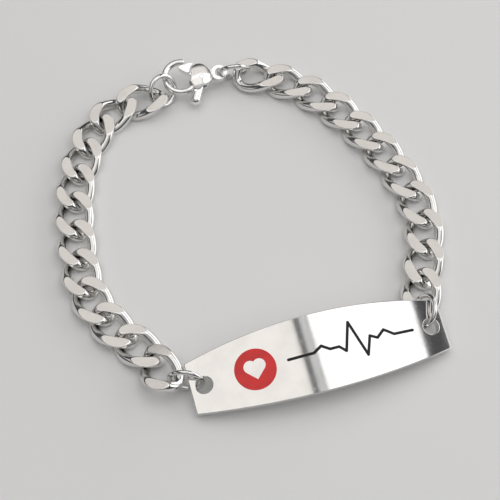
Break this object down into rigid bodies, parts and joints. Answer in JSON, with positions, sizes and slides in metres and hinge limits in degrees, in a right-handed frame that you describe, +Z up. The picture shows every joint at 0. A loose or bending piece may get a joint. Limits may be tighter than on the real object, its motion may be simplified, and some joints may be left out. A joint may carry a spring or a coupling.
{
  "type": "medical alert bracelet",
  "caption": "Closed steel bracelet: flat curb chain, arched identity plate with an enamel badge, and a sprung lobster clasp, lying in its wrist loop.",
  "frame": {"origin": "middle of the closed loop's outline, on the surface it lies on", "axes": "+X along the identity plate, towards its right end; +Y from the plate to the clasp; +Z up from the surface"},
  "size_m": [0.0687, 0.0751, 0.0076],
  "materials": {
    "polished_steel": "mirror polished",
    "red_enamel": "gloss",
    "dark_enamel": "gloss"
  },
  "bodies": {
    "bracelet": {"id_plate": "polished_steel", "badge": "red_enamel", "pulse_line": "dark_enamel", "ring_plate_left": "polished_steel", "ring_plate_right": "polished_steel", "ring_hook": "polished_steel", "ring_eye": "polished_steel", "clasp_body": "polished_steel", "clasp_pin": "polished_steel", "link_r01": "polished_steel", "link_r02": "polished_steel", "link_r03": "polished_steel", "link_r04": "polished_steel", "link_r05": "polished_steel", "link_r06": "polished_steel", "link_r07": "polished_steel", "link_r08": "polished_steel", "link_r09": "polished_steel", "link_r10": "polished_steel", "link_r11": "polished_steel", "link_l01": "polished_steel", "link_l02": "polished_steel", "link_l03": "polished_steel", "link_l04": "polished_steel", "link_l05": "polished_steel", "link_l06": "polished_steel", "link_l07": "polished_steel", "link_l08": "polished_steel", "link_l09": "polished_steel", "link_l10": "polished_steel", "link_l11": "polished_steel", "link_l12": "polished_steel"},
    "lever": {"clasp_lever": "polished_steel"}
  },
  "joints": [
    {"name": "lever_hinge", "type": "hinge", "parent": "bracelet", "child": "lever", "pos_m": [0.00055, 0.03259, 0.00283], "axis": [-0.0211, -0.241, 0.9703], "range_deg": [0, 20], "stiffness_Nm_per_rad": 0.004, "springref_deg": -17.19}
  ]
}
